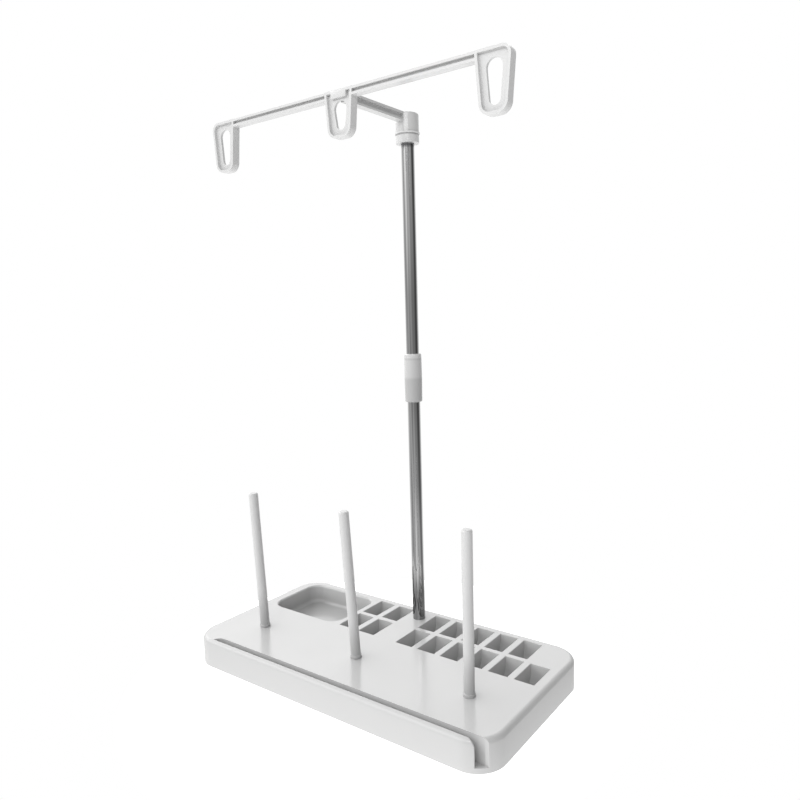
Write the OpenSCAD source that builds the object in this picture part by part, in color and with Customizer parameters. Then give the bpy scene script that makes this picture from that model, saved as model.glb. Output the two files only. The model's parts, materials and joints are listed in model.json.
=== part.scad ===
// Thread rack: a moulded base with bobbin pockets, three spool pins, and a pole in two
// lengths that carries a swivelling arm and a crossbar with three thread loops.
// X runs along the base, Y from front to back and Z up. The origin is on the floor,
// below the middle of the base.

/* [Base] */
// Length of the base along X
base_l = 227.4; // [226:0.2:250]
// Depth of the base along Y
base_d = 119.2; // [117:0.2:140]
// Height of the moulded shell, from its rim to the deck
base_h = 18; // [17:0.5:24]
// Radius of the base's upright corners
corner_r = 18; // [14:0.5:22]
// Radius of the round along the deck's outer edge
edge_r = 3; // [1:0.25:4]
// Thickness of the outer walls
wall = 2.2; // [1.6:0.1:2.8]
// Thickness of the deck
deck_t = 2.2; // [1.6:0.1:3]
// Thickness of the ribs and small walls below the deck
rib = 1.6; // [1:0.1:2]
// Margin from the base's ends to the dish and the pockets
end_margin = 7.8; // [6:0.1:9]
// Margin from the base's back to the back row of pockets
back_margin = 6.1; // [5:0.1:8]

/* [Bobbin pockets] */
// Width of a pocket along X, for a bobbin on its edge
pocket_w = 12.5; // [11:0.1:13.5]
// Length of a pocket along Y
pocket_l = 21.8; // [19:0.1:23]
// Distance between pockets along X
pocket_pitch_x = 17; // [16:0.1:18]
// Distance between the two rows along Y
pocket_pitch_y = 25.4; // [25:0.1:28]
// Depth of a pocket
pocket_depth = 15.8; // [13:0.1:16]
// Pockets in the right group's front row
front_pockets = 6; // [4:1:6]
// Pockets in the right group's back row
back_pockets = 5; // [3:1:5]
// Pockets in each row of the left group
left_pockets = 2; // [1:1:2]

/* [Dish] */
// Length of the dish along X, between its walls
dish_l = 60; // [50:0.5:61]
// Width of the dish along Y, between its walls
dish_d = 45.7; // [40:0.1:46]
// Depth of the dish, from the deck to its floor
dish_depth = 13; // [8:0.5:14]
// Radius of the dish's upright corners
dish_r = 9; // [4:0.5:12]
// Radius between the dish's floor and walls
dish_edge_r = 2.5; // [1:0.25:3.5]
// Radius of the round from the deck down into the dish
dish_lip_r = 1.5; // [0.5:0.1:1.8]
// Space between the dish's wall and the left pockets
dish_gap = 4.8; // [4.5:0.1:7]

/* [Front slot] */
// Width of the slot behind the front wall
slot_w = 4.3; // [4.2:0.1:6]
// Depth of the slot
slot_depth = 15; // [8:0.1:15.2]
// Thickness of the wall in front of the slot
slot_wall = 2.7; // [2.4:0.1:4]
// Distance from the base's left end to the tip of the slot
slot_left = 19; // [18:0.5:40]
// Radius that narrows the slot to its tip
slot_tip_r = 6; // [6:0.5:24]
// Distance from the base's right end to the notch in the front wall
notch_right = 9.6; // [9.2:0.1:14]
// Radius of the front wall's upper corner at the notch
notch_r = 5; // [1:0.25:6]

/* [Spool pins] */
// Diameter of a spool pin
pin_d = 6.2; // [5:0.1:7]
// Height of a spool pin above the deck
pin_h = 94.6; // [60:0.1:120]
// Distance from the base's ends to the outer spool pins
pin_inset = 32.4; // [29:0.1:43]
// Distance from the base's front to the spool pins
pin_front = 36.2; // [26:0.1:40]
// Diameter of a pin's foot
pin_foot_d = 7; // [6.8:0.1:9]
// Height of a pin's foot
pin_foot_h = 2; // [1:0.1:4]
// Length of a pin's spigot below the deck
pin_spigot = 12; // [6:0.5:13]
// Diameter of a pin's spigot
pin_spigot_d = 5.6; // [4:0.1:6]
// Radius of the round at a pin's tip
pin_tip_r = 1.2; // [0.5:0.1:2]
// Angle that the left pin leans forward
left_pin_angle = 2.9; // [0:0.1:5]
// Angle that the middle pin leans forward
middle_pin_angle = 4.2; // [0:0.1:5]
// Angle that the right pin leans forward
right_pin_angle = 0; // [0:0.1:5]

/* [Pole] */
// Diameter of the pole's tubes
tube_d = 8.5; // [7:0.1:10]
// Wall thickness of the tubes
tube_wall = 0.8; // [0.5:0.1:1.5]
// Distance from the base's back to the pole
pole_back = 14.6; // [13:0.1:18]
// Depth of the pole's socket below the deck
socket_depth = 15; // [10:0.5:15.5]
// Height of the coupler's lower end above the deck
coupler_z = 151.7; // [110:0.1:180]
// Length of the coupler
coupler_l = 32.2; // [20:0.1:40]
// Diameter of the coupler at its middle
coupler_d = 11.8; // [11.6:0.1:14]
// How much thinner the coupler is at its ends
coupler_draft = 0.4; // [0:0.1:0.6]
// Length of the stop in the middle of the coupler
coupler_stop = 2; // [1:0.1:4]
// Height of the stop collar's lower end above the deck
collar_z = 318.9; // [260:0.1:360]
// Diameter of the stop collar and of the arm's head
head_d = 15; // [12.6:0.1:16]
// Height of the stop collar, with its rim
collar_h = 6.5; // [5:0.1:10]
// Height of the collar's rim
rim_h = 0.9; // [0.5:0.1:1.5]
// How far the collar's rim stands out
rim_out = 0.5; // [0.2:0.05:0.8]
// Length of tube that the arm's head turns on
tenon_l = 9.6; // [7:0.1:11]

/* [Arm] */
// Height of the arm's head
head_h = 11.9; // [11.6:0.1:16]
// Distance from the pole to the middle of the crossbar
arm_reach = 64.3; // [45:0.1:80]
// Width of the arm
arm_w = 5; // [4:0.1:6]
// Height of the arm
arm_h = 5.6; // [5:0.1:6.5]
// Distance from the head's top down to the arm
arm_drop = 0.2; // [0.1:0.1:3]
// Thickness of the flanges of the arm and crossbar
flange_t = 1.4; // [1:0.1:1.8]
// Thickness of the webs of the arm and crossbar
web_t = 1.6; // [1:0.1:2]
// Thickness of the arm's end plate
plate_t = 1.5; // [1:0.1:2.5]
// Width of the arm's end plate and of the tongue through the crossbar
tongue_w = 11.3; // [8:0.1:13]
// Height of the tongue
tongue_h = 2.3; // [1.8:0.1:2.6]
// How far the tongue stands out of the crossbar's web
tongue_out = 0.9; // [0.3:0.1:1.1]

/* [Crossbar] */
// Distance between thread loops
loop_pitch = 99.2; // [80:0.1:110]
// Width of the crossbar's flanges along Y
bar_w = 5.4; // [4:0.1:6.5]
// Height of the crossbar
bar_h = 4.6; // [4.2:0.1:5.5]
// How far the loops stand above the crossbar
loop_rise = 0.2; // [0.1:0.1:1]
// Width of a loop at its top
loop_w = 20.8; // [18:0.1:23]
// Height of the left and right loops
loop_h = 31.7; // [26:0.1:40]
// Height of the middle loop
middle_loop_h = 26.4; // [24:0.1:36]
// Thickness of a loop's rim at its sides and bottom
loop_rim = 1.5; // [1:0.1:2]
// Slope of a loop's sides
loop_slope = 5; // [0:0.5:6]
// Radius of a loop's lower corners
loop_r = 6; // [3:0.25:6.5]
// Radius of the crossbar's two upper end corners
bar_end_r = 5; // [3:0.25:6]
// Upper radius of the hole in a loop
hole_r = 4.6; // [3.4:0.1:5]
// Lower radius of the hole in a loop
hole_low_r = 3.3; // [2.2:0.1:4]
// Distance from a loop's top down to the hole of the left and right loops
hole_drop = 4.7; // [3:0.1:6]
// Distance from the middle loop's top down to its hole
middle_hole_drop = 5.6; // [5.2:0.1:8]
// Distance from a loop's hole down to its bottom
loop_floor = 4.6; // [4:0.1:7]

/* [Feet] */
// Diameter of a rubber foot
foot_d = 10; // [7:0.5:12]
// Height of the rubber feet below the rim
foot_stand = 1.5; // [0.8:0.1:3]
// Depth of the recess that holds a foot
foot_seat = 1; // [0.5:0.1:1.6]
// Radius of the round at a foot's lower edge
foot_round = 0.4; // [0.2:0.1:0.7]

/* [Fits] */
// Radial clearance of the running and push fits
fit = 0.05; // [0.02:0.01:0.09]
// Gap between faces that turn or lift apart
face_gap = 0.1; // [0.05:0.05:0.3]

/* [Hidden] */
$fn = 64;

// How far cuts run past the faces that they open
over = 1;
// Small overlap that joins neighbouring shapes into one solid
bite = 0.5;
// How far a sloping side ends inside the round that it runs into
meet = 0.01;
// Chamfer at the ends of the coupler
coupler_chamfer = 0.6;
// Round at the top of the arm's head
head_round = 1.3;
// Height of the stiffening ribs below the deck
rib_h = 7;
// Wall round the pin and pole sockets
boss_wall = 2.4;
// Floor below the pin and pole sockets
boss_floor = 1.4;
// Wall round a foot's recess
foot_boss_wall = 1.6;

rim_z = foot_stand;
deck_z = rim_z + base_h;
x_out = base_l / 2;
y_out = base_d / 2;

// Pockets: a straight part below the deck, then a cradle that follows the bobbin
cradle_r = pocket_l / 2;
straight_depth = pocket_depth - cradle_r;
back_row_y = y_out - back_margin - pocket_l / 2;
front_row_y = back_row_y - pocket_pitch_y;
right_x0 = x_out - end_margin - (front_pockets - 1) * pocket_pitch_x - pocket_w;
dish_x0 = -x_out + end_margin + dish_lip_r;
dish_x = dish_x0 + dish_l / 2;
dish_y = y_out - back_margin - dish_lip_r - dish_d / 2;
left_x0 = dish_x0 + dish_l + dish_gap;

// Each row of pockets as its start along X, its middle along Y and its count
pocket_rows = [
    [right_x0, front_row_y, front_pockets],
    [right_x0, back_row_y, back_pockets],
    [left_x0, front_row_y, left_pockets],
    [left_x0, back_row_y, left_pockets],
];

// Front slot
slot_front = -y_out + slot_wall;
slot_back = slot_front + slot_w;
slot_tip_x = -x_out + slot_left;
slot_floor_z = deck_z - slot_depth;
notch_x = x_out - notch_right;

// Pins and pole
pin_x = x_out - pin_inset;
pin_y = -y_out + pin_front;
pin_boss_d = pin_d + 2 * boss_wall;
pole_y = y_out - pole_back;
pole_boss_d = tube_d + 2 * boss_wall;
seam_z = deck_z + coupler_z + coupler_l / 2;
lower_tube_z0 = deck_z - socket_depth + face_gap;
lower_tube_z1 = seam_z - coupler_stop / 2;
upper_tube_z0 = seam_z + coupler_stop / 2 + face_gap;
collar_z0 = deck_z + collar_z;
collar_z1 = collar_z0 + collar_h;
upper_tube_z1 = collar_z1 + tenon_l;
head_z0 = collar_z1 + face_gap;
head_z1 = head_z0 + head_h;

// Arm and crossbar
arm_z1 = head_z1 - arm_drop;
arm_z0 = arm_z1 - arm_h;
bar_y = pole_y - arm_reach;
loop_top_z = arm_z1;
tongue_z1 = loop_top_z - loop_rim - fit;
tongue_z0 = tongue_z1 - tongue_h;
end_round_x = loop_w / 2 - bar_end_r * (tan(loop_slope) + 1 / cos(loop_slope));

// Feet: the back right one stands where the back row leaves the deck plain
foot_x = x_out - corner_r;
foot_y = y_out - corner_r;
foot_places = [[-foot_x, -foot_y], [foot_x, -foot_y], [-foot_x, foot_y], [foot_x, foot_y]];
foot_boss_d = foot_d + 2 * foot_boss_wall;

plastic = [0.9, 0.9, 0.89];
metal = [0.72, 0.73, 0.75];
rubber = [0.25, 0.25, 0.26];

// A rectangle with rounded corners, centred on the origin
module rounded_rect(l, d, r) {
    square([l - 2 * r, d], center = true);
    square([l, d - 2 * r], center = true);
    for (sx = [-1, 1], sy = [-1, 1])
        translate([sx * (l / 2 - r), sy * (d / 2 - r)]) circle(r);
}

// An upright section whose two top corners are rounded by e
module round_top_section(w, h, e) {
    translate([-w / 2, 0]) square([w, h - e]);
    translate([-w / 2 + e, 0]) square([w - 2 * e, h]);
    for (s = [-1, 1])
        translate([s * (w / 2 - e), h - e]) circle(e);
}

// A block with upright corners of radius r and its top edge rounded by e
module round_top_block(l, d, h, r, e) {
    translate([-l / 2 + r, 0, 0]) rotate([90, 0, 90])
        linear_extrude(l - 2 * r) round_top_section(d, h, e);
    translate([0, d / 2 - r, 0]) rotate([90, 0, 0])
        linear_extrude(d - 2 * r) round_top_section(l, h, e);
    for (sx = [-1, 1], sy = [-1, 1])
        translate([sx * (l / 2 - r), sy * (d / 2 - r), 0]) rotate_extrude() {
            square([r, h - e]);
            square([r - e, h]);
            translate([r - e, h - e]) circle(e);
        }
}

// The outside of the moulded shell, filled
module base_outside() {
    translate([0, 0, rim_z])
        round_top_block(base_l, base_d, base_h, corner_r, edge_r);
}

// The open space below the deck
module base_inside() {
    translate([0, 0, rim_z - over])
        linear_extrude(base_h - deck_t + over)
            rounded_rect(base_l - 2 * wall, base_d - 2 * wall, corner_r - wall);
}

// Side view of a pocket, grown by g: straight below the deck, then the bobbin's round
module pocket_section(g, top) {
    r = cradle_r + g;
    intersection() {
        translate([0, -straight_depth]) circle(r);
        translate([-r, -straight_depth - r]) square([2 * r, r]);
    }
    translate([-r, -straight_depth]) square([2 * r, straight_depth + top]);
}

// One solid in each pocket's place, grown by g and reaching up to a height above the deck
module in_pockets(g, top) {
    for (row = pocket_rows, i = [0 : row[2] - 1])
        translate([row[0] + i * pocket_pitch_x - g, row[1], deck_z]) rotate([90, 0, 90])
            linear_extrude(pocket_w + 2 * g) pocket_section(g, top);
}

module dish_wall() {
    translate([dish_x, dish_y, deck_z - dish_depth - rib])
        linear_extrude(dish_depth + rib - deck_t / 2)
            rounded_rect(dish_l + 2 * rib, dish_d + 2 * rib, dish_r + rib);
}

// Half section of the dish's hollow, w wide below its lip, with the deck at the height 0
module dish_half_section(w) {
    e = dish_edge_r;
    lip = dish_lip_r;
    translate([0, e - dish_depth]) square([w, dish_depth - e + over]);
    translate([0, -dish_depth]) square([w - e, dish_depth]);
    translate([w - e, e - dish_depth]) circle(e);
    difference() {
        translate([0, -lip]) square([w + lip - meet, lip + over]);
        translate([w + lip - meet, meet - lip]) circle(lip);
    }
}

// Both halves of that section, swept along a straight stretch of the dish
module dish_stretch(w, run) {
    rotate([90, 0, 90]) translate([0, 0, -run / 2]) linear_extrude(run)
        for (s = [0, 1])
            mirror([s, 0]) dish_half_section(w);
}

module dish_cut() {
    r = dish_r;
    translate([dish_x, dish_y, deck_z]) {
        dish_stretch(dish_d / 2, dish_l - 2 * r);
        rotate([0, 0, 90]) dish_stretch(dish_l / 2, dish_d - 2 * r);
        for (sx = [-1, 1], sy = [-1, 1])
            translate([sx * (dish_l / 2 - r), sy * (dish_d / 2 - r), 0])
                rotate_extrude() dish_half_section(r);
    }
}

// Plan of the slot, grown by g: its back edge curves forward to a tip at the left end,
// and at the right end it runs out through the base's round corner
module slot_plan(g) {
    tip_run = sqrt(pow(slot_tip_r, 2) - pow(slot_tip_r - slot_w, 2));
    x1 = slot_tip_x + tip_run;
    r = slot_tip_r + g;
    translate([x1, slot_front - g]) square([x_out + over - x1, slot_w + 2 * g]);
    intersection() {
        translate([x1, slot_back - slot_tip_r]) circle(r);
        translate([x1 - r, slot_front - g]) square([r, slot_w + 2 * g]);
    }
}

// Walls and floor of the front slot
module slot_trough() {
    intersection() {
        base_outside();
        translate([0, 0, slot_floor_z - rib]) linear_extrude(slot_depth + rib)
            union() {
                slot_plan(rib);
                translate([slot_tip_x, -y_out]) square([x_out - slot_tip_x, slot_wall + bite]);
            }
    }
}

// The slot, and the notch beside the end of the front wall
module slot_cut() {
    translate([0, 0, slot_floor_z]) linear_extrude(slot_depth + over) {
        slot_plan(0);
        translate([notch_x, -y_out - over])
            square([x_out + over - notch_x, slot_wall + 2 * over]);
    }
}

// Rounds the front wall's upper corner at the notch
module notch_round_cut() {
    translate([notch_x - notch_r, slot_front, deck_z - notch_r]) rotate([90, 0, 0])
        linear_extrude(slot_wall + over) difference() {
            square(notch_r + over);
            circle(notch_r);
        }
}

// Places the child on a spool pin's axis, with the pin's foot at the deck
module at_pin(i, angle) {
    translate([i * pin_x, pin_y, deck_z]) rotate([angle, 0, 0]) children();
}

module pin_bosses() {
    for (i = [-1, 0, 1])
        translate([i * pin_x, pin_y, deck_z - pin_spigot - boss_floor])
            cylinder(d = pin_boss_d, h = pin_spigot + boss_floor - deck_t / 2);
}

module pin_sockets() {
    angles = [left_pin_angle, middle_pin_angle, right_pin_angle];
    for (i = [-1, 0, 1])
        at_pin(i, angles[i + 1]) translate([0, 0, -pin_spigot])
            cylinder(d = pin_spigot_d + 2 * fit, h = pin_spigot + over);
}

module pole_boss() {
    translate([0, pole_y, deck_z - socket_depth - boss_floor])
        cylinder(d = pole_boss_d, h = socket_depth + boss_floor - deck_t / 2);
}

module pole_socket() {
    translate([0, pole_y, deck_z - socket_depth])
        cylinder(d = tube_d + 2 * fit, h = socket_depth + over);
}

module foot_bosses() {
    for (p = foot_places)
        translate([p[0], p[1], rim_z]) cylinder(d = foot_boss_d, h = base_h - deck_t / 2);
}

module foot_recesses() {
    for (p = foot_places)
        translate([p[0], p[1], rim_z - over]) cylinder(d = foot_d, h = foot_seat + over);
}

// Ribs below the deck: one along the pins and one across at each pin, of which the middle
// one runs back to the pole
module deck_ribs() {
    z0 = deck_z - deck_t / 2 - rib_h;
    translate([-x_out + wall - bite, pin_y - rib / 2, z0])
        cube([base_l - 2 * wall + 2 * bite, rib, rib_h]);
    for (i = [-1, 0, 1]) {
        rib_end = i == 0 ? pole_y : front_row_y - cradle_r;
        translate([i * pin_x - rib / 2, slot_back, z0])
            cube([rib, rib_end - slot_back, rib_h]);
    }
}

module base() {
    color(plastic) difference() {
        union() {
            difference() {
                base_outside();
                base_inside();
            }
            in_pockets(rib, -deck_t / 2);
            dish_wall();
            slot_trough();
            pin_bosses();
            pole_boss();
            foot_bosses();
            deck_ribs();
        }
        in_pockets(0, over);
        dish_cut();
        slot_cut();
        notch_round_cut();
        pin_sockets();
        pole_socket();
        foot_recesses();
    }
}

// Half section of a spool pin, from the bottom of its spigot to its tip
module pin_section(lift) {
    r = pin_d / 2;
    foot_r = pin_foot_d / 2;
    spigot_r = pin_spigot_d / 2;
    spigot_end = -pin_spigot + face_gap;
    polygon([
        [0, spigot_end], [spigot_r, spigot_end], [spigot_r, lift], [foot_r, lift],
        [foot_r, pin_foot_h - foot_r + r], [r, pin_foot_h], [r, pin_h - pin_tip_r],
        [r - pin_tip_r, pin_h - pin_tip_r], [r - pin_tip_r, pin_h], [0, pin_h],
    ]);
    translate([r - pin_tip_r, pin_h - pin_tip_r]) circle(pin_tip_r);
}

// A spool pin: its foot is lifted so that a leaning pin just clears the deck
module spool_pin(i, angle) {
    lift = pin_foot_d / 2 * sin(angle) + face_gap;
    color(plastic) at_pin(i, angle) rotate_extrude() pin_section(lift);
}

module tube(z0, z1) {
    translate([0, pole_y, z0]) difference() {
        cylinder(d = tube_d, h = z1 - z0);
        translate([0, 0, -over]) cylinder(d = tube_d - 2 * tube_wall, h = z1 - z0 + 2 * over);
    }
}

module lower_tube() {
    color(metal) tube(lower_tube_z0, lower_tube_z1);
}

module upper_tube() {
    color(metal) tube(upper_tube_z0, upper_tube_z1);
}

// A moulded sleeve that gets thinner from its middle to both ends, with a stop inside:
// the lower tube is tight in it and the upper one pulls out
module tube_coupler() {
    r = coupler_d / 2;
    end_r = r - coupler_draft / 2;
    half = coupler_l / 2;
    color(plastic) translate([0, pole_y, seam_z]) difference() {
        rotate_extrude() polygon([
            [0, -half], [end_r - coupler_chamfer, -half], [end_r, -half + coupler_chamfer],
            [r, 0], [end_r, half - coupler_chamfer], [end_r - coupler_chamfer, half], [0, half],
        ]);
        translate([0, 0, -half - over])
            cylinder(d = tube_d, h = half - coupler_stop / 2 + over);
        translate([0, 0, coupler_stop / 2])
            cylinder(d = tube_d + 2 * fit, h = half + over);
        translate([0, 0, -half]) cylinder(d = tube_d - 2 * tube_wall, h = coupler_l);
    }
}

// The ring fixed on the upper tube, whose rim the arm's head rests on
module stop_collar() {
    color(plastic) translate([0, pole_y, collar_z0]) difference() {
        union() {
            cylinder(d = head_d, h = collar_h - rim_h);
            translate([0, 0, collar_h - rim_h]) cylinder(d = head_d + 2 * rim_out, h = rim_h);
        }
        translate([0, 0, -over]) cylinder(d = tube_d, h = collar_h + 2 * over);
    }
}

// Half section of the arm's head, with its top edge rounded
module head_section() {
    r = head_d / 2;
    square([r, head_h - head_round]);
    square([r - head_round, head_h]);
    translate([r - head_round, head_h - head_round]) intersection() {
        circle(head_round);
        square(head_round);
    }
}

// Head, arm and end plate in one, with the tongue that passes through the crossbar
module guide_arm() {
    plate_y = bar_y + bar_w / 2;
    beam_l = pole_y - head_d / 4 - plate_y;
    tongue_l = bar_w / 2 + web_t / 2 + tongue_out;
    color(plastic) difference() {
        union() {
            translate([0, pole_y, head_z0]) rotate_extrude() head_section();
            for (z = [arm_z0, arm_z1 - flange_t])
                translate([-arm_w / 2, plate_y, z]) cube([arm_w, beam_l, flange_t]);
            translate([-web_t / 2, plate_y, arm_z0]) cube([web_t, beam_l, arm_h]);
            translate([-tongue_w / 2, plate_y, tongue_z0])
                cube([tongue_w, plate_t, arm_z1 - tongue_z0]);
            translate([-tongue_w / 2, plate_y - tongue_l, tongue_z0])
                cube([tongue_w, tongue_l + bite, tongue_h]);
        }
        translate([0, pole_y, head_z0 - over])
            cylinder(d = tube_d + 2 * fit, h = tenon_l + face_gap + over);
    }
}

// Right side of a loop's outline, moved inwards by g, from its top to its lower corner.
// At the crossbar's end its top corner is round. A round goes by its circle's middle.
function loop_side(h, g, at_end) =
    let (r = loop_r - g, r1 = bar_end_r - g, cz = r + g - h,
         a = loop_w / 2 - g / cos(loop_slope), t = tan(loop_slope),
         cx = a + cz * t - r / cos(loop_slope),
         out = [cos(loop_slope), -sin(loop_slope)])
    concat(at_end
               ? [[end_round_x, -g], [end_round_x, -bar_end_r],
                  [end_round_x, -bar_end_r] + (r1 - meet) * out]
               : [[a - g * t, -g]],
           [[cx, cz] + (r - meet) * out, [cx, cz], [cx, g - h]]);

// Outline of a loop moved inwards by g: its side towards the crossbar's end is s,
// and 0 stands for the middle loop
module loop_outline(s, g) {
    h = loop_height(s);
    right = loop_side(h, g, s > 0);
    left = loop_side(h, g, s < 0);
    polygon(concat(right, [for (i = [len(left) - 1 : -1 : 0]) [-left[i][0], left[i][1]]]));
    for (c = [right[len(right) - 2], left[len(left) - 2]], m = [-1, 1])
        translate([m * c[0], c[1]]) circle(loop_r - g);
    if (s != 0)
        translate([s * end_round_x, -bar_end_r]) circle(bar_end_r - g);
}

// A hole with round ends, wider at its top than at its bottom
module hole_outline(top, bottom) {
    z1 = top - hole_r;
    z2 = bottom + hole_low_r;
    lean = asin((hole_r - hole_low_r) / (z1 - z2));
    x1 = (hole_r - meet) * cos(lean);
    x2 = (hole_low_r - meet) * cos(lean);
    s1 = z1 - (hole_r - meet) * sin(lean);
    s2 = z2 - (hole_low_r - meet) * sin(lean);
    translate([0, z1]) circle(hole_r);
    translate([0, z2]) circle(hole_low_r);
    polygon([[x1, s1], [x2, s2], [-x2, s2], [-x1, s1]]);
}

function loop_height(s) = s == 0 ? middle_loop_h : loop_h;
function loop_hole_drop(s) = s == 0 ? middle_hole_drop : hole_drop;

// A stretch of the crossbar between two loops
module bar_stretch(s) {
    inset = loop_w / 2 - loop_rim;
    x0 = s > 0 ? inset : -loop_pitch + inset;
    translate([x0, -loop_rise - bar_h]) square([loop_pitch - 2 * inset, bar_h]);
}

// What the flanges cover, seen from the front
module flange_face() {
    for (s = [-1, 1]) difference() {
        bar_stretch(s);
        translate([s > 0 ? 0 : -loop_pitch, -loop_rise - bar_h + flange_t])
            square([loop_pitch, bar_h - 2 * flange_t]);
    }
    for (s = [-1, 0, 1]) translate([s * loop_pitch, 0]) difference() {
        loop_outline(s, 0);
        loop_outline(s, loop_rim);
    }
}

// What the web covers, seen from the front
module web_face() {
    for (s = [-1, 1])
        bar_stretch(s);
    for (s = [-1, 0, 1]) translate([s * loop_pitch, 0]) difference() {
        loop_outline(s, 0);
        hole_outline(-loop_hole_drop(s), -loop_height(s) + loop_floor);
    }
}

// Extrudes a front view along Y, centred on the crossbar
module from_front(depth) {
    translate([0, bar_y + depth / 2, loop_top_z]) rotate([90, 0, 0])
        linear_extrude(depth) children();
}

module crossbar() {
    color(plastic) difference() {
        union() {
            from_front(bar_w) flange_face();
            from_front(web_t) web_face();
        }
        translate([-tongue_w / 2 - fit, bar_y - bar_w, tongue_z0 - fit])
            cube([tongue_w + 2 * fit, 2 * bar_w, tongue_h + 2 * fit]);
    }
}

// A rubber foot pressed into its recess
module foot(p) {
    color(rubber) translate([p[0], p[1], 0]) rotate_extrude() {
        r = foot_d / 2;
        translate([0, foot_round]) square([r, foot_stand + foot_seat - foot_round]);
        square([r - foot_round, foot_stand]);
        translate([r - foot_round, foot_round]) circle(foot_round);
    }
}

base();
spool_pin(-1, left_pin_angle);  // spool_pin_left
spool_pin(0, middle_pin_angle);  // spool_pin_middle
spool_pin(1, right_pin_angle);  // spool_pin_right
lower_tube();
tube_coupler();
upper_tube();
stop_collar();
guide_arm();
crossbar();
foot(foot_places[0]);  // foot_front_left
foot(foot_places[1]);  // foot_front_right
foot(foot_places[2]);  // foot_back_left
foot(foot_places[3]);  // foot_back_right
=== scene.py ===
import json
import math

import bmesh
import bpy
from mathutils import Matrix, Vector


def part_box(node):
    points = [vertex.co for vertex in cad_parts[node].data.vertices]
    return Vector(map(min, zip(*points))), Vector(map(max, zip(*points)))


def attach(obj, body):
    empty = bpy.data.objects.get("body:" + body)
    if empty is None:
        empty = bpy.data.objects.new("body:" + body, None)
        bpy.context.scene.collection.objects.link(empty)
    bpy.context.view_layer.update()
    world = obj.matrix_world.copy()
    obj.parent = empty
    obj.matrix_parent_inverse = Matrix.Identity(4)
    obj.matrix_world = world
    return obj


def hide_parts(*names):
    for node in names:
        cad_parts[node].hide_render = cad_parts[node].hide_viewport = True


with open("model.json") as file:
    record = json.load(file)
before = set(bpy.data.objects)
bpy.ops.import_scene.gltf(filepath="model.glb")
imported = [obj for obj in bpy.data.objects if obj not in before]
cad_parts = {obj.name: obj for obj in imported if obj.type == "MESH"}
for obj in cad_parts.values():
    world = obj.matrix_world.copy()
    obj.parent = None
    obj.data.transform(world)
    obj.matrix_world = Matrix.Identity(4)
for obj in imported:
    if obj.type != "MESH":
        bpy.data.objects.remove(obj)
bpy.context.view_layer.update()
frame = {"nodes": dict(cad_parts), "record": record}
bpy.ops.object.select_all(action="DESELECT")
print("frame loaded")


# One shader socket, with the arithmetic that the sky and the finishes use
class Wire:
    def __init__(self, wiring, socket):
        self.wiring = wiring
        self.socket = socket

    def __add__(self, other):
        return self.wiring.maths("ADD", self, other)

    def __radd__(self, other):
        return self.wiring.maths("ADD", other, self)

    def __sub__(self, other):
        return self.wiring.maths("SUBTRACT", self, other)

    def __rsub__(self, other):
        return self.wiring.maths("SUBTRACT", other, self)

    def __mul__(self, other):
        return self.wiring.maths("MULTIPLY", self, other)

    def __rmul__(self, other):
        return self.wiring.maths("MULTIPLY", other, self)


# A node tree, of a material or of the sky
class Wiring:
    def __init__(self, tree):
        self.tree = tree

    def add(self, kind, settings=None, inputs=None, output=0):
        node = self.tree.nodes.new(kind)
        for key, value in (settings or {}).items():
            if key == "stops":
                self.setStops(node.color_ramp, value)
            else:
                setattr(node, key, value)
        for key, value in (inputs or {}).items():
            self.feed(node.inputs[key], value)
        return Wire(self, node.outputs[output])

    def setStops(self, ramp, stops):
        while len(ramp.elements) < len(stops):
            ramp.elements.new(0.5)
        for element, (position, grey) in zip(ramp.elements, stops):
            element.position = position
            element.color = (grey, grey, grey, 1)

    def feed(self, socket, value):
        if isinstance(value, Wire):
            self.tree.links.new(value.socket, socket)
        else:
            socket.default_value = value

    def maths(self, operation, first, second=0.0):
        return self.add("ShaderNodeMath", {"operation": operation}, {0: first, 1: second})

    def threeParts(self, vector):
        node = self.add("ShaderNodeSeparateXYZ", {}, {0: vector}).socket.node
        return [Wire(self, output) for output in node.outputs]

    def mapRange(self, value, low, high, start=0.0, end=1.0):
        return self.add("ShaderNodeMapRange", {}, {0: value, 1: low, 2: high, 3: start, 4: end})

    def blend(self, factor, first, second):  # colours
        return self.add("ShaderNodeMix", {"data_type": "RGBA"}, {0: factor, 6: first, 7: second}, 2)

    def mix(self, factor, first, second):  # plain numbers
        return self.add("ShaderNodeMix", {"data_type": "FLOAT"}, {0: factor, 2: first, 3: second}, 0)


# A material with the few patterns that moulded plastic, chrome and rubber need
class Finish(Wiring):
    def __init__(self, name):
        self.material = bpy.data.materials.new(name)
        self.material.use_nodes = True
        super().__init__(self.material.node_tree)
        self.shader = self.tree.nodes["Principled BSDF"]
        self.place = self.add("ShaderNodeTexCoord", output="Object")

    def noise(self, scale, detail=2.0, stretch=(1, 1, 1)):
        stretched = self.add("ShaderNodeMapping", {}, {"Vector": self.place, "Scale": stretch})
        return self.add("ShaderNodeTexNoise", {},
                        {"Vector": stretched, "Scale": scale, "Detail": detail}, "Fac")

    def bump(self, height, strength, distance):
        return self.add("ShaderNodeBump", {},
                        {"Height": height, "Strength": strength, "Distance": distance})

    def give(self, sockets):
        for name, value in sockets.items():
            self.feed(self.shader.inputs[name], value)
        return self.material


# Camera, at the photographer's place

cameraLook = {
    "place": (0.272238, -0.337913, 0.228011),
    "turn": 36.546,  # degrees towards the rack's left
    "dip": 6.737,
    "roll": 1.543,
    "sensor": 36,
    "lens": 31.682,
    "nearest": 0.01,
}


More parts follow.
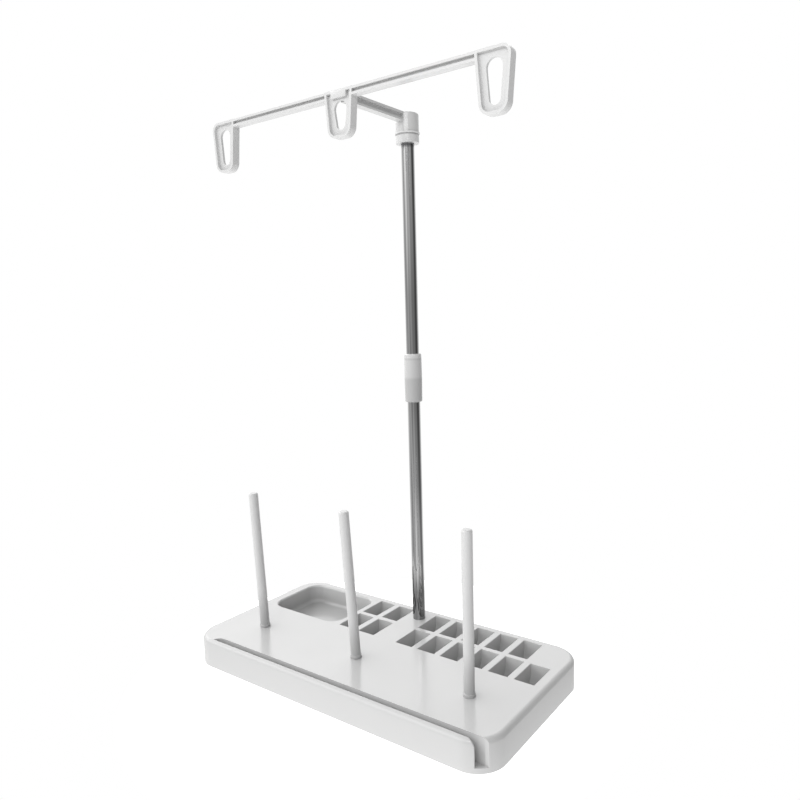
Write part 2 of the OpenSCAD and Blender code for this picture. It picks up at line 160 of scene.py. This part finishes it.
def makeCamera():
    data = bpy.data.cameras.new("camera")
    data.sensor_width = cameraLook["sensor"]
    data.lens = cameraLook["lens"]
    data.clip_start = cameraLook["nearest"]
    camera = bpy.data.objects.new("camera", data)
    bpy.context.scene.collection.objects.link(camera)
    turn = Matrix.Rotation(math.radians(cameraLook["turn"]), 4, "Z")
    dip = Matrix.Rotation(math.radians(90 - cameraLook["dip"]), 4, "X")
    roll = Matrix.Rotation(math.radians(-cameraLook["roll"]), 4, "Z")
    camera.matrix_world = Matrix.Translation(cameraLook["place"]) @ turn @ dip @ roll
    bpy.context.scene.camera = camera


# Studio: a white table, white walls behind and to the left, a darker room at the right,
# light from high up behind and from the left, and a softbox behind the camera.
# The rows give greys round the room, by degrees from the camera's side towards the image's right

studioLook = {
    "cameraSide": -55.1,  # azimuth of the side that the photographer stands on
    "whitest": 4.0,  # grey that a full ramp stands for
    "levels": (1.6, 13.0, 28.0),  # degrees up of the low, the high and the upper row
    "low": {-180: 0.96, -140: 1.0, -108: 0.57, -87: 0.43, -60: 0.44, -30: 0.35, -7: 0.35,
            10: 0.21, 50: 0.20, 68: 0.10, 90: 0.08, 110: 0.32, 140: 0.86, 180: 0.96},
    "high": {-180: 0.76, -140: 1.0, -100: 0.70, -77: 0.70, -70: 1.3, -48: 1.35, -41: 0.62,
             -26: 0.6, -20: 0.85, -6: 0.85, 2: 0.55, 22: 0.45, 50: 0.40, 68: 0.13, 90: 0.10,
             108: 0.35, 140: 0.90, 180: 0.76},
    "upper": {-180: 2.4, -130: 3.9, -80: 3.4, -35: 2.1, 10: 1.1, 45: 0.32, 100: 0.22,
              145: 1.4, 180: 2.4},
    "overhead": 0.35,
    "horizon": (-0.02, 0.0),  # rise over which the table turns into the room
    "table": {-180: 0.95, -140: 0.90, -108: 0.55, -87: 0.38, -52: 0.56, -22: 0.68, -7: 0.64,
              7: 0.43, 40: 0.44, 68: 0.20, 87: 0.12, 108: 0.28, 140: 0.85, 180: 0.95},
    "tableLevels": (-15.0, -7.0),  # degrees up between which the mirrored table turns into the room
    "nearMirrored": 0.93,  # table close by, as mirrored
    "mirrorLevels": (-30.0, -20.0),  # degrees up between which it turns into the table's row
    "nearLight": 1.75,  # table close by, as a light
    "lightLevels": (-50.0, -20.0),
    "farLight": 0.36,  # least light from the far table
    "farShare": 0.25,  # share of the upper row that the far table throws back
}


def aroundRoom(sky, turn, greys):
    whitest = studioLook["whitest"]
    stops = [((angle + 180) / 360, grey / whitest) for angle, grey in greys.items()]
    return sky.add("ShaderNodeValToRGB", {"stops": stops}, {"Fac": turn}) * whitest


def rises(levels):
    return [math.sin(math.radians(level)) for level in levels]


def makeSky():
    world = bpy.data.worlds.new("studio")
    bpy.context.scene.world = world
    world.use_nodes = True
    sky = Wiring(world.node_tree)
    place = sky.add("ShaderNodeTexCoord", output="Generated")
    turned = sky.add("ShaderNodeMapping", {}, {
        "Vector": place, "Rotation": (0, 0, math.radians(-studioLook["cameraSide"]))})
    towards, across, rise = sky.threeParts(turned)
    turn = sky.mapRange(sky.maths("ARCTAN2", across, towards), -math.pi, math.pi)
    low, high, upper = rises(studioLook["levels"])
    room = sky.mix(sky.mapRange(rise, low, high), aroundRoom(sky, turn, studioLook["low"]),
                   aroundRoom(sky, turn, studioLook["high"]))
    upperRow = aroundRoom(sky, turn, studioLook["upper"])
    room = sky.mix(sky.mapRange(rise, high, upper), room, upperRow)
    room = sky.mix(sky.mapRange(rise, upper, 1.0), room, studioLook["overhead"])
    tableRow = aroundRoom(sky, turn, studioLook["table"])
    mirrored = sky.mix(sky.mapRange(rise, *rises(studioLook["tableLevels"])), tableRow, room)
    mirrored = sky.mix(sky.mapRange(rise, *rises(studioLook["mirrorLevels"])),
                       studioLook["nearMirrored"], mirrored)
    farLight = upperRow * studioLook["farShare"] + studioLook["farLight"]
    light = sky.mix(sky.mapRange(rise, *rises(studioLook["lightLevels"])),
                    studioLook["nearLight"], farLight)
    glossy = sky.add("ShaderNodeLightPath", output="Is Glossy Ray")
    table = sky.mix(glossy, light, mirrored)
    room = sky.mix(sky.mapRange(rise, *studioLook["horizon"]), table, room)
    seen = sky.add("ShaderNodeLightPath", output="Is Camera Ray")
    background = world.node_tree.nodes["Background"]
    sky.feed(background.inputs["Strength"], sky.mix(seen, room, 1.0))  # plain white behind the rack
    background.inputs["Color"].default_value = (1, 1, 1, 1)


tableLook = {
    "radius": 0.16,
    "sides": 128,
    "grey": 0.25,
    "clouds": 14.0,
    "cloudDetail": 3.0,
    "cloudGrey": 0.2425,
    "roughness": 0.8,
    "glow": 1.12,
}


def makeTable():
    look = tableLook
    finish = Finish("table_white")
    grey = look["grey"]
    shade = look["cloudGrey"]
    clouds = finish.noise(look["clouds"], look["cloudDetail"])
    colour = finish.blend(clouds, (grey, grey, grey, 1), (shade, shade, shade, 1))
    finish.give({"Base Color": colour, "Roughness": look["roughness"], "Specular IOR Level": 0.0,
                 "Emission Color": (1, 1, 1, 1), "Emission Strength": look["glow"]})
    bpy.ops.mesh.primitive_circle_add(vertices=look["sides"], radius=look["radius"], fill_type="NGON")
    table = bpy.context.object
    table.name = "table"
    table.data.materials.append(finish.material)
    table.visible_glossy = False  # the sky already holds the table's mirror image
    table.select_set(False)


softboxLook = {
    "turn": -10.0,  # degrees to the right of the camera's side
    "rise": 25.0,
    "distance": 1.5,
    "aimHeight": 0.2,
    "width": 1.0,
    "height": 0.3,
    "brightness": 5.0,
}


def makeSoftbox():
    look = softboxLook
    data = bpy.data.lights.new("softbox", "AREA")
    data.shape = "RECTANGLE"
    data.size = look["width"]
    data.size_y = look["height"]
    data.energy = look["brightness"] * math.pi * look["width"] * look["height"]
    softbox = bpy.data.objects.new("softbox", data)
    softbox.visible_camera = False
    bpy.context.scene.collection.objects.link(softbox)
    aim = Matrix.Translation((0, 0, look["aimHeight"]))
    turn = Matrix.Rotation(math.radians(studioLook["cameraSide"] + look["turn"] + 90), 4, "Z")
    tilt = Matrix.Rotation(math.radians(90 - look["rise"]), 4, "X")
    away = Matrix.Translation((0, 0, look["distance"]))
    softbox.matrix_world = aim @ turn @ tilt @ away


makeCamera()
makeSky()
makeTable()
makeSoftbox()
bpy.context.scene.view_settings.view_transform = "Standard"
print("studio made")


# Finishes: white plastics, chrome plate and rubber

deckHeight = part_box("base")[1].z
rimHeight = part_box("base")[0].z
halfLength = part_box("base")[1].x
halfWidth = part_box("base")[1].y
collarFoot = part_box("stop_collar")[0].z
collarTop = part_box("stop_collar")[1].z

plasticLook = {  # what all the white plastics share
    "warmth": 0.001,  # how much less blue there is
    "clouds": 22.0,  # faint clouds in the colour
    "cloudDetail": 3.0,
    "cloudShade": 0.035,
    "patches": 60.0,  # duller and glossier patches
    "patchRange": (0.3, 0.7),
    "patchDepth": 0.03,
    "peelHeight": 0.0002,
}


def plasticColour(grey):
    return (grey, grey, grey - plasticLook["warmth"], 1)


def whitePlastic(name, look, graded=None):
    finish = Finish(name)
    light = graded(finish, look) if graded else plasticColour(look["grey"])
    shade = finish.blend(plasticLook["cloudShade"], light, (0, 0, 0, 1))
    clouds = finish.noise(plasticLook["clouds"], plasticLook["cloudDetail"])
    colour = finish.blend(clouds, light, shade)
    glossiest = look["roughness"] - plasticLook["patchDepth"]
    dullest = look["roughness"] + plasticLook["patchDepth"]
    low, high = plasticLook["patchRange"]
    rough = finish.mapRange(finish.noise(plasticLook["patches"]), low, high, glossiest, dullest)
    peel = finish.bump(finish.noise(look["peel"]), look["depth"], plasticLook["peelHeight"])
    return finish.give({"Base Color": colour, "Roughness": rough, "Normal": peel})


def greyByHeight(finish, look):
    height = finish.threeParts(finish.place)[2]
    stops = list(look["greys"].items())
    return finish.add("ShaderNodeValToRGB", {"stops": stops},
                      {"Fac": finish.mapRange(height, *look["between"])})


basePlasticLook = {
    "grey": 0.55,
    "insideGrey": 0.43,  # painted shade inside the pockets, the dish and the slot
    "insideFrom": 0.0005,  # below the deck
    "insideTo": 0.009,
    "corner": 0.018,
    "wall": 0.0015,  # outer skin that stays as light as the deck
    "wallBlend": 0.0005,
    "roughness": 0.18,
    "peel": 240.0,
    "depth": 0.10,
}


# Painted shade: below the deck, inside the pockets, the dish and the slot, the colour turns greyer
# where the real base is only in shade
def paintedShadeInside(finish, look):
    x, y, z = finish.threeParts(finish.place)
    corner = look["corner"]
    pastX = finish.maths("MAXIMUM", finish.maths("ABSOLUTE", x) - (halfLength - corner), 0.0)
    pastY = finish.maths("MAXIMUM", finish.maths("ABSOLUTE", y) - (halfWidth - corner), 0.0)
    fromCorner = finish.maths("SQRT", pastX * pastX + pastY * pastY)
    skin = corner - look["wall"]
    inside = finish.mapRange(fromCorner, skin - look["wallBlend"], skin, 1.0, 0.0)
    deep = finish.mapRange(z, deckHeight - look["insideTo"], deckHeight - look["insideFrom"], 1.0, 0.0)
    return finish.blend(inside * deep, plasticColour(look["grey"]), plasticColour(look["insideGrey"]))


basePlastic = whitePlastic("base_gloss", basePlasticLook, paintedShadeInside)

pinPlasticLook = {
    "between": (deckHeight, deckHeight + 0.026),
    "greys": {0.0: 0.40, 0.5: 0.49, 1.0: 0.62},  # painted shade: greyer at a pin's foot
    "roughness": 0.34,
    "peel": 200.0,
    "depth": 0.03,
}
pinPlastic = whitePlastic("pin_satin", pinPlasticLook, greyByHeight)

guidePlasticLook = {
    "grey": 0.60,
    "roughness": 0.24,
    "peel": 200.0,
    "depth": 0.02,
}
guidePlastic = whitePlastic("guide_satin", guidePlasticLook)

chromeLook = {
    "between": (deckHeight, deckHeight + 0.1),
    "greys": {0.0: 0.28, 0.20: 0.30, 0.37: 0.86, 0.66: 0.86, 0.95: 0.65, 1.0: 0.65},  # painted shade and reflection: dark at its foot, lighter above it
    "dark": (0.16, 0.16, 0.165, 1),
    "lines": 560.0,  # fine lines drawn along the tube
    "lineStretch": (1, 1, 0.01),
    "lineRange": (0.43, 0.57),  # the closer these are, the crisper the lines
    "lineDark": 0.46,
    "lineDepth": 0.08,
    "lineHeight": 0.0001,
    "ringFrom": 0.0032,  # painted shadow: a dark ring below the collar, where its shaded underside is mirrored
    "ringTo": 0.0012,
    "ringDark": 0.9,
    "roughness": 0.035,
    "smears": 80.0,
    "smearDepth": 0.04,
}


def chromePlate():
    look = chromeLook
    finish = Finish("chrome_plate")
    lines = finish.noise(look["lines"], stretch=look["lineStretch"])
    low, high = look["lineRange"]
    drawn = finish.mapRange(lines, low, high, 0.0, look["lineDark"])
    # painted shade and reflection: the tube's colour follows its height
    colour = finish.blend(drawn, greyByHeight(finish, look), look["dark"])
    # painted shadow ring just below the collar
    height = finish.threeParts(finish.place)[2]
    ring = finish.mapRange(height, collarFoot - look["ringFrom"], collarFoot - look["ringTo"],
                           0.0, look["ringDark"])
    colour = finish.blend(ring, colour, look["dark"])
    rough = look["roughness"] + look["smearDepth"] * finish.noise(look["smears"])
    return finish.give({"Base Color": colour, "Metallic": 1.0, "Roughness": rough,
                        "Normal": finish.bump(lines, look["lineDepth"], look["lineHeight"])})


tubeChrome = chromePlate()

rubberLook = {
    "colour": (0.05, 0.05, 0.05, 1),
    "shade": (0.08, 0.08, 0.08, 1),
    "clouds": 120.0,
    "roughness": 0.8,
    "grain": 1500.0,
    "grainDepth": 0.3,
    "grainHeight": 0.0002,
}


def footRubber():
    look = rubberLook
    finish = Finish("foot_rubber")
    colour = finish.blend(finish.noise(look["clouds"]), look["colour"], look["shade"])
    grain = finish.bump(finish.noise(look["grain"]), look["grainDepth"], look["grainHeight"])
    return finish.give({"Base Color": colour, "Roughness": look["roughness"], "Normal": grain})


finishes = {
    "base_plastic": basePlastic,
    "pin_plastic": pinPlastic,
    "guide_plastic": guidePlastic,
    "tube_chrome": tubeChrome,
    "foot_rubber": footRubber(),
}

headPlasticLook = {
    "grey": 0.57,
    "roughness": 0.14,
    "peel": 200.0,
    "depth": 0.02,
}

collarPlasticLook = {
    "between": (collarFoot, collarTop),
    "greys": {0.0: 0.62, 0.66: 0.61, 0.74: 0.36, 0.845: 0.28, 0.865: 0.66, 1.0: 0.66},  # painted shadow in a dark band under the rim, and the rim paler as a painted highlight
    "roughness": 0.14,
    "peel": 200.0,
    "depth": 0.02,
}

couplerPlasticLook = {
    "between": [corner.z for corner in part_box("tube_coupler")],
    "greys": {0.0: 0.445, 0.47: 0.445, 0.53: 0.535, 0.86: 0.54, 0.88: 0.48, 0.90: 0.48,
              0.92: 0.57, 1.0: 0.60},  # two greys, and a faint darker ring near the top as painted shade of a shallow groove
    "roughness": 0.24,
    "peel": 200.0,
    "depth": 0.02,
}

ownFinishes = {
    "guide_arm": whitePlastic("head_gloss", headPlasticLook),
    "stop_collar": whitePlastic("collar_gloss", collarPlasticLook, greyByHeight),
    "tube_coupler": whitePlastic("coupler_satin", couplerPlasticLook, greyByHeight),
}

slots = {part["node"]: part["material_slot"] for part in frame["record"]["subparts"]}
for name, node in frame["nodes"].items():
    node.data.materials.clear()
    node.data.materials.append(ownFinishes.get(name, finishes[slots[name]]))
print("finishes given")


# Mouldings with softened edges: a copy of the node's mesh, bevelled where its edges show

mouldingLook = {
    "weld": 0.000002,
    "flat": math.radians(0.05),  # faces that meet at less than this become one
    "sharp": math.radians(32),  # edges that meet at more than this are bevelled and stay crisp
}
closeTo = 0.00005


def bevelWhere(piece, chosen, width, steps):
    bpy.ops.object.mode_set(mode="EDIT")
    bpy.ops.mesh.select_mode(type="EDGE")
    bpy.ops.mesh.select_all(action="DESELECT")
    mesh = bmesh.from_edit_mesh(piece.data)
    for edge in mesh.edges:
        middle = (edge.verts[0].co + edge.verts[1].co) / 2
        edge.select_set(edge.calc_face_angle(0) > mouldingLook["sharp"] and chosen(middle))
    bmesh.update_edit_mesh(piece.data)
    bpy.ops.mesh.bevel(offset=width, segments=steps, affect="EDGES", clamp_overlap=True)
    bpy.ops.object.mode_set(mode="OBJECT")


def softenEdges(nodeName, look, places):
    piece = bpy.data.objects.new(nodeName + "_moulding", frame["nodes"][nodeName].data.copy())
    bpy.context.scene.collection.objects.link(piece)
    bpy.context.view_layer.objects.active = piece
    piece.select_set(True)
    bpy.ops.mesh.customdata_custom_splitnormals_clear()
    bpy.ops.object.mode_set(mode="EDIT")
    bpy.ops.mesh.select_all(action="SELECT")
    bpy.ops.mesh.remove_doubles(threshold=mouldingLook["weld"])
    bpy.ops.mesh.dissolve_limited(angle_limit=mouldingLook["flat"])
    bpy.ops.object.mode_set(mode="OBJECT")
    for chosen in places:
        bevelWhere(piece, chosen, look["edge"], look["steps"])
    bpy.ops.object.shade_smooth_by_angle(angle=mouldingLook["sharp"])
    weighted = piece.modifiers.new("flat faces stay flat", "WEIGHTED_NORMAL")
    weighted.keep_sharp = True
    bpy.ops.object.modifier_apply(modifier=weighted.name)
    piece.select_set(False)
    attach(piece, look["body"])
    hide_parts(nodeName)
    print(nodeName, "edges softened")


def everywhere(middle):
    return True


baseLook = {
    "body": "stand",
    "edge": 0.00035,
    "steps": 3,
    "pocketLength": 0.0218,
    "pocketDepth": 0.0158,
    "boxInset": 0.0002,  # from a pocket's wall to the box that the record gives for it
    "slot": (0.0027, 0.007),  # its front and back, from the base's front
    "slotRight": 0.094,
}
pocketBoxes = [opening["box_m"] for opening in frame["record"]["physics"]["openings"]
               if opening["name"].startswith("pocket")]


def inPockets(middle):
    atDeck = abs(middle.z - deckHeight) < closeTo
    aboveFloor = middle.z > deckHeight - baseLook["pocketDepth"] - closeTo
    for low, high in pocketBoxes:
        left = low[0] - baseLook["boxInset"]
        right = high[0] + baseLook["boxInset"]
        atWall = min(abs(middle.x - left), abs(middle.x - right)) < closeTo
        overX = left - closeTo < middle.x < right + closeTo
        overY = abs(middle.y - (low[1] + high[1]) / 2) < baseLook["pocketLength"] / 2 + closeTo
        if overX and overY and aboveFloor and (atWall or atDeck):
            return True
    return False


def alongSlot(middle):
    fromFront = middle.y + halfWidth
    besides = min(abs(fromFront - wallPlace) for wallPlace in baseLook["slot"])
    atDeck = abs(middle.z - deckHeight) < closeTo
    return atDeck and besides < closeTo and middle.x < baseLook["slotRight"]


def roundRim(middle):
    atSide = abs(middle.x) > halfLength - closeTo or abs(middle.y) > halfWidth - closeTo
    return abs(middle.z - rimHeight) < closeTo and atSide


softenEdges("base", baseLook, [inPockets, alongSlot, roundRim])

armLook = {
    "body": "guide",
    "edge": 0.0003,
    "steps": 3,
    "fromPole": 0.008,  # nearer the pole than this the head stays as it is
}
poleY = (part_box("lower_tube")[0].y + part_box("lower_tube")[1].y) / 2


def offHead(middle):
    return middle.y < poleY - armLook["fromPole"]


softenEdges("guide_arm", armLook, [offHead])

barLook = {
    "body": "guide",
    "edge": 0.0003,
    "steps": 3,
}
softenEdges("crossbar", barLook, [everywhere])

couplerLook = {
    "body": "lower_pole",
    "edge": 0.0003,
    "steps": 3,
}
softenEdges("tube_coupler", couplerLook, [everywhere])

collarLook = {
    "body": "upper_pole",
    "edge": 0.00025,
    "steps": 3,
    "rim": 0.0002,  # this much of the top stays sharp
}


def belowRim(middle):
    return middle.z < collarTop - collarLook["rim"]


softenEdges("stop_collar", collarLook, [belowRim])


# Latch: the end of the arm's tongue, which fills the gap in the middle loop's top

latchLook = {
    "width": 0.0113,
    "top": 0.00005,  # above the loop's top
    "height": 0.0046,
    "front": 0.00006,  # in front of the loop's rim
    "webFront": 0.0008,  # from the middle of the crossbar
    "round": 0.0004,
    "steps": 3,
}


def makeLatch():
    lowest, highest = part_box("crossbar")
    front = lowest.y - latchLook["front"]
    back = (lowest.y + highest.y) / 2 - latchLook["webFront"]
    top = highest.z + latchLook["top"]
    bpy.ops.mesh.primitive_cube_add(size=1.0)
    latch = bpy.context.object
    latch.name = "arm_latch"
    bpy.ops.object.mode_set(mode="EDIT")
    bpy.ops.transform.resize(value=(latchLook["width"], back - front, latchLook["height"]))
    bpy.ops.transform.translate(value=(0, (front + back) / 2, top - latchLook["height"] / 2))
    bpy.ops.mesh.select_all(action="SELECT")
    bpy.ops.mesh.bevel(offset=latchLook["round"], segments=latchLook["steps"], affect="EDGES")
    bpy.ops.object.mode_set(mode="OBJECT")
    bpy.ops.object.shade_smooth_by_angle(angle=mouldingLook["sharp"])
    latch.data.materials.append(finishes["guide_plastic"])
    latch.select_set(False)
    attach(latch, "guide")


makeLatch()
print("latch made")
